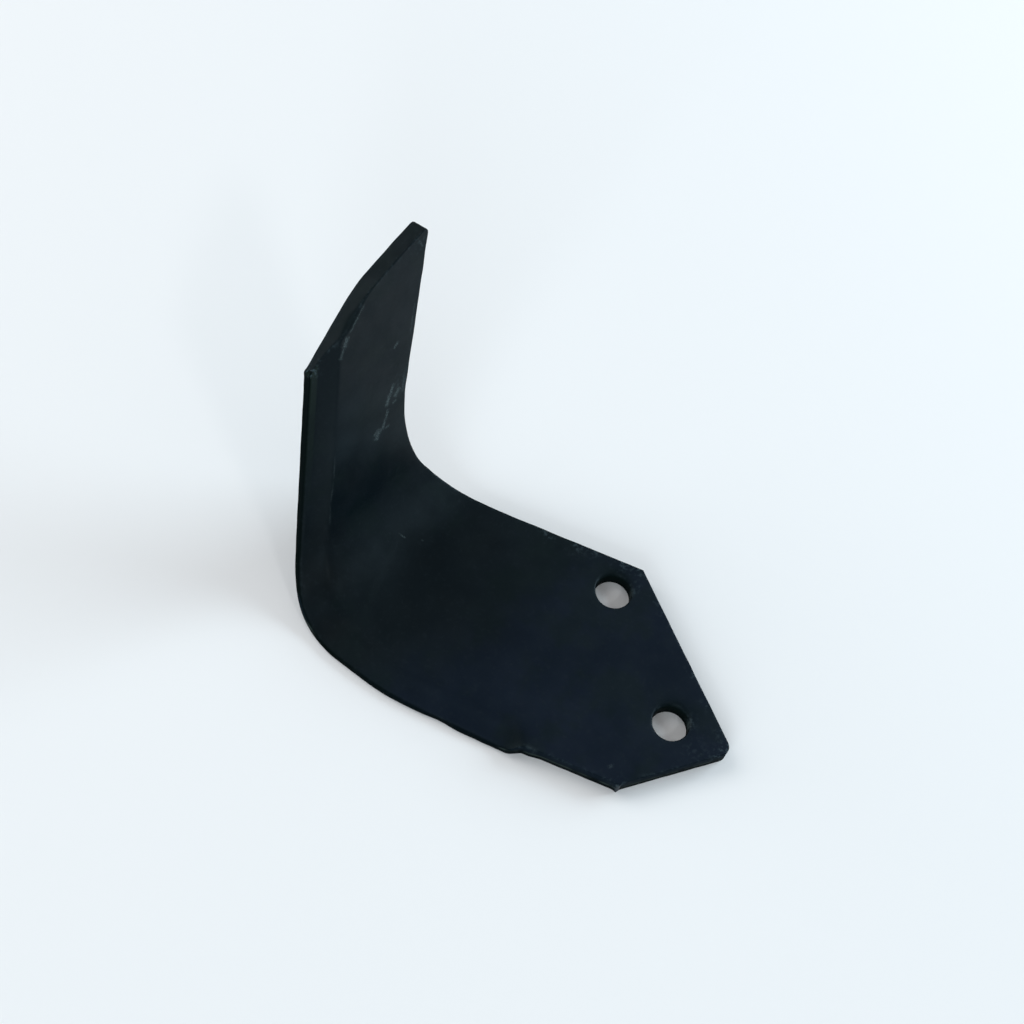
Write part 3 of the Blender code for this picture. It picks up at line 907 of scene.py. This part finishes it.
class Nodes:
    """Short ways to add nodes to one material."""

    def __init__(self, name):
        self.material = bpy.data.materials.new(name)
        self.material.use_nodes = True
        self.tree = self.material.node_tree
        self.shader = self.tree.nodes["Principled BSDF"]

    def link(self, source, socket):
        """Join an output to an input, or set the input to a plain value."""
        if isinstance(source, bpy.types.NodeSocket):
            self.tree.links.new(source, socket)
        else:
            socket.default_value = source

    def math(self, operation, a, b=0.0, clamp=False):
        """Arithmetic on two numbers."""
        node = self.tree.nodes.new("ShaderNodeMath")
        node.operation = operation
        node.use_clamp = clamp
        self.link(a, node.inputs[0])
        self.link(b, node.inputs[1])
        return node.outputs[0]

    def noise(self, vector, scale, detail, roughness):
        """Cloudy noise around one half."""
        node = self.tree.nodes.new("ShaderNodeTexNoise")
        self.link(vector, node.inputs["Vector"])
        node.inputs["Scale"].default_value = scale
        node.inputs["Detail"].default_value = detail
        node.inputs["Roughness"].default_value = roughness
        return node.outputs["Fac"]

    def step(self, value, low, high, to_low=0.0, to_high=1.0):
        """Smooth rise of a value between two limits."""
        node = self.tree.nodes.new("ShaderNodeMapRange")
        node.interpolation_type = "SMOOTHSTEP"
        self.link(value, node.inputs["Value"])
        node.inputs["From Min"].default_value = low
        node.inputs["From Max"].default_value = high
        node.inputs["To Min"].default_value = to_low
        node.inputs["To Max"].default_value = to_high
        return node.outputs["Result"]

    def patches(self, vector, noise, limits):
        """Noise faded in between its limits."""
        return self.step(self.noise(vector, *noise), *limits)

    def mix(self, share, a, b):
        """Mix of two colours."""
        node = self.tree.nodes.new("ShaderNodeMix")
        node.data_type = "RGBA"
        self.link(share, node.inputs["Factor"])
        self.link(a, node.inputs["A"])
        self.link(b, node.inputs["B"])
        return node.outputs["Result"]

    def moved(self, vector, place, turn, stretch=1.0):
        """Vector measured from a new centre along an axis turned about Z, with that axis stretched."""
        node = self.tree.nodes.new("ShaderNodeMapping")
        node.vector_type = "TEXTURE"
        self.link(vector, node.inputs["Vector"])
        node.inputs["Location"].default_value = place
        node.inputs["Rotation"].default_value = (0.0, 0.0, turn)
        node.inputs["Scale"].default_value = (stretch, 1.0, 1.0)
        return node.outputs["Vector"]

    def parts(self, vector):
        """The three numbers of a vector."""
        node = self.tree.nodes.new("ShaderNodeSeparateXYZ")
        self.link(vector, node.inputs["Vector"])
        return node.outputs["X"], node.outputs["Y"], node.outputs["Z"]

    def attribute(self, name):
        """Number kept for each point of the mesh."""
        node = self.tree.nodes.new("ShaderNodeAttribute")
        node.attribute_name = name
        return node.outputs["Fac"]

    def coordinates(self, output):
        """Object or UV coordinates."""
        return self.tree.nodes.new("ShaderNodeTexCoord").outputs[output]

    def bump(self, height, strength, distance, normal=None):
        """Bump from a height, over an earlier one if given."""
        node = self.tree.nodes.new("ShaderNodeBump")
        node.inputs["Strength"].default_value = strength
        node.inputs["Distance"].default_value = distance
        self.link(height, node.inputs["Height"])
        if normal is not None:
            self.link(normal, node.inputs["Normal"])
        return node.outputs["Normal"]


def scratch_and_highlight_marks(nodes, plan):
    """Bright broken scratches, and a painted highlight across the bend drawn as one broad faint stroke:
    frayed strokes in the flat blank, cut up by noise drawn out along them.
    """
    unit_length = MM * PLAN_UNITS
    marks = 0.0
    for start_x, start_y, end_x, end_y, width, strength in SCRATCHES_AND_HIGHLIGHT:
        middle = ((start_x + end_x) / 2.0 * unit_length, (start_y + end_y) / 2.0 * unit_length, 0.0)
        half = math.hypot(end_x - start_x, end_y - start_y) / 2.0 * unit_length / STREAK_LENGTH
        turn = math.atan2(end_y - start_y, end_x - start_x)
        local = nodes.moved(plan, middle, turn, STREAK_LENGTH)
        along, across, _ = nodes.parts(local)
        streaks = nodes.math("SUBTRACT", nodes.noise(local, *FRAY_NOISE), 0.5)
        fray = nodes.math("MULTIPLY", streaks, STREAK_FRAY * width * unit_length)
        frayed = nodes.math("ABSOLUTE", nodes.math("ADD", across, fray))
        inside = nodes.step(nodes.math("ABSOLUTE", along), half, half * STREAK_ENDS)
        near = nodes.step(frayed, width * unit_length / 2.0, 0.0)
        shown = nodes.math("MULTIPLY", nodes.math("MULTIPLY", inside, near), strength)
        marks = nodes.math("MAXIMUM", marks, shown)
    return nodes.math("MULTIPLY", marks, nodes.patches(plan, *SCRATCH_AND_HIGHLIGHT_PATCHES))


def paint_tone(nodes, place, plan):
    """Blue-black of the shank turning to a duller green-black past the tone line, both cloudy."""
    middle = (TONE_LINE_PLACE[0] * PLAN_UNITS, TONE_LINE_PLACE[1] * PLAN_UNITS, 0.0)
    past = nodes.parts(nodes.moved(plan, middle, TONE_LINE_ANGLE))[1]
    stray = nodes.math("MULTIPLY", nodes.noise(place, *STRAY_NOISE), TONE_LINE_STRAY)
    strayed = nodes.math("ADD", past, stray)
    clouds = nodes.patches(place, *CLOUDS)
    dull = nodes.mix(clouds, *DULL_TONES)
    blue = nodes.mix(clouds, *BLUE_TONES)
    tone = nodes.mix(nodes.step(strayed, *TONE_LINE_FADE), dull, blue)
    greener = nodes.patches(place, *GREENER_PATCHES)
    return nodes.mix(nodes.math("MULTIPLY", greener, GREENER_SHARE), tone, GREENER)


def wall_tone(nodes, place, tone):
    """Sheared walls, dark at the foot and smooth above on the shank, hole walls, and the bright line."""
    shank_wall = nodes.attribute("shank_wall")
    height = nodes.parts(place)[2]
    upper = nodes.step(height, BURNISHED_HEIGHT, BURNISHED_HEIGHT + BURNISHED_RISE)
    wall = nodes.mix(nodes.math("MULTIPLY", upper, shank_wall), TORN_STEEL, SMOOTH_STEEL)
    tone = nodes.mix(nodes.math("MULTIPLY", nodes.attribute("matt"), WALL_SHARE), tone, wall)
    recess = nodes.math("MULTIPLY", nodes.attribute("recess"), RECESS_SHARE)
    tone = nodes.mix(recess, tone, RECESS_TONE)
    level = nodes.math("ABSOLUTE", nodes.math("SUBTRACT", height, BURNISHED_HEIGHT))
    burnished = nodes.math("MULTIPLY", nodes.step(level, BURNISHED_WIDTH, 0.0), shank_wall)
    uneven = nodes.patches(place, *BURNISHED_PATCHES)
    return nodes.mix(nodes.math("MULTIPLY", burnished, uneven), tone, BURNISHED)


def chips(nodes, place):
    """Share of bare steel in the chips along edges and in rubbed places, cut up by fine noise."""
    edge = nodes.math("MULTIPLY", nodes.math("POWER", nodes.attribute("edge"), 2.0), EDGE_CHIP_SHARE)
    rubbed = nodes.math("MULTIPLY", nodes.attribute("rubbed"), RUBBED_CHIP_SHARE)
    worn = nodes.math("MAXIMUM", edge, rubbed)
    return nodes.math("MULTIPLY", worn, nodes.patches(place, *CHIP_PATCHES), clamp=True)


def worn_paint_and_painted_light():
    """Thin blue-black paint over forged steel: cloudy, darkened round the holes, rubbed along its edges,
    with painted light on the wing and bend, painted shade over the heel and bend, and painted highlights on
    the facet and across the bend.
    """
    nodes = Nodes("worn_paint_and_painted_light")
    place = nodes.coordinates("Object")
    plan = nodes.coordinates("UV")
    tone = paint_tone(nodes, place, plan)
    # Painted shade over the heel and the bend
    tone = nodes.mix(nodes.attribute("painted_shade"), tone, PAINTED_SHADE_TONE)
    # Painted light on the wing and the bend
    tone = nodes.mix(nodes.attribute("painted_light"), tone, PAINTED_LIGHT_TONE)
    specks = nodes.patches(place, *SPECK_PATCHES)
    tone = nodes.mix(nodes.math("MULTIPLY", specks, SPECK_SHARE), tone, SPECKS)
    tone = wall_tone(nodes, place, tone)
    # Painted highlight on the facet near the nose
    facet = nodes.math("MULTIPLY", nodes.attribute("facet"), nodes.patches(place, *FACET_HIGHLIGHT_PATCHES))
    tone = nodes.mix(facet, tone, FACET_HIGHLIGHT)
    wear = chips(nodes, place)
    tone = nodes.mix(nodes.math("MULTIPLY", wear, CHIP_SHARE), tone, CHIPPED)
    # Scratches, and the painted highlight across the bend among them, on the upper side
    scratches_and_highlight = nodes.math("MULTIPLY", scratch_and_highlight_marks(nodes, plan), nodes.attribute("topside"))
    tone = nodes.mix(scratches_and_highlight, tone, SCRATCH_AND_HIGHLIGHT_TONE)
    nodes.link(tone, nodes.shader.inputs["Base Color"])
    rough = nodes.patches(place, *ROUGHER_PATCHES)
    sheared = nodes.math("MULTIPLY", nodes.attribute("sheared"), SHEARED_ROUGHNESS)
    rough = nodes.math("ADD", rough, sheared)
    rough = nodes.math("ADD", rough, nodes.math("MULTIPLY", wear, CHIPPED_ROUGHNESS))
    nodes.link(rough, nodes.shader.inputs["Roughness"])
    recess = nodes.math("MULTIPLY", nodes.attribute("recess"), RECESS_DULLNESS)
    dulled = nodes.math("MAXIMUM", nodes.attribute("matt"), recess)
    nodes.link(nodes.step(dulled, 0.0, 1.0, *GLOSS_LEVELS), nodes.shader.inputs["Specular IOR Level"])
    wavy = nodes.bump(nodes.noise(place, *WAVY_NOISE), *WAVY_BUMP)
    grain = nodes.bump(nodes.noise(place, *GRAIN_NOISE), *GRAIN_BUMP, wavy)
    nodes.link(grain, nodes.shader.inputs["Normal"])
    nodes.shader.inputs["Metallic"].default_value = 0.0
    nodes.shader.inputs["IOR"].default_value = GLOSS_IOR
    nodes.shader.inputs["Specular Tint"].default_value = GLOSS_TINT
    return nodes.material


def pale_floor():
    """Matt off-white studio floor."""
    nodes = Nodes("pale_floor")
    cloud = nodes.noise(nodes.coordinates("Object"), *FLOOR_NOISE)
    nodes.link(nodes.mix(cloud, *FLOOR_TONES), nodes.shader.inputs["Base Color"])
    nodes.shader.inputs["Roughness"].default_value = FLOOR_ROUGHNESS
    nodes.shader.inputs["Specular IOR Level"].default_value = FLOOR_GLOSS
    return nodes.material


def area_light(name, bearing, rise, size, power, colour):
    """Square soft light at a bearing and a rise from the blade, pointing at it."""
    data = bpy.data.lights.new(name, "AREA")
    data.shape = "SQUARE"
    data.size = size
    data.energy = power
    data.color = colour
    item = bpy.data.objects.new(name, data)
    bearing, rise = math.radians(bearing), math.radians(rise)
    level = math.cos(rise)
    away = Vector((level * math.cos(bearing), level * math.sin(bearing), math.sin(rise)))
    place = Vector(LIGHT_TARGET) + LIGHT_DISTANCE * away
    item.matrix_world = Matrix.Translation(place) @ away.to_track_quat("Z", "Y").to_matrix().to_4x4()
    bpy.context.scene.collection.objects.link(item)


def make_light():
    """Dim even surroundings with the soft lights round the blade."""
    world = bpy.data.worlds.new("studio")
    world.use_nodes = True
    background = world.node_tree.nodes["Background"]
    background.inputs["Color"].default_value = SURROUNDINGS
    background.inputs["Strength"].default_value = SURROUNDINGS_STRENGTH
    bpy.context.scene.world = world
    for light in SOFT_LIGHTS:
        area_light(*light)


def make_camera():
    """Camera at the photograph's viewpoint, from its right and forward directions, with Standard tones."""
    data = bpy.data.cameras.new("camera")
    data.lens = CAMERA_LENS
    data.sensor_width = SENSOR
    data.clip_start = NEAR_LIMIT
    item = bpy.data.objects.new("camera", data)
    forward = Vector(CAMERA_FORWARD).normalized()
    right = Vector(CAMERA_RIGHT)
    right = (right - forward * right.dot(forward)).normalized()
    turn = Matrix((right, right.cross(forward), -forward)).transposed()
    item.matrix_world = Matrix.Translation(CAMERA_PLACE) @ turn.to_4x4()
    bpy.context.scene.collection.objects.link(item)
    bpy.context.scene.camera = item
    bpy.context.scene.view_settings.view_transform = "Standard"


make_camera()
make_light()

floor = make_floor()
floor.data.materials.append(pale_floor())

blade = make_blade()
blade.data.materials.append(worn_paint_and_painted_light())
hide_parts("blade")
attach(blade, "root")
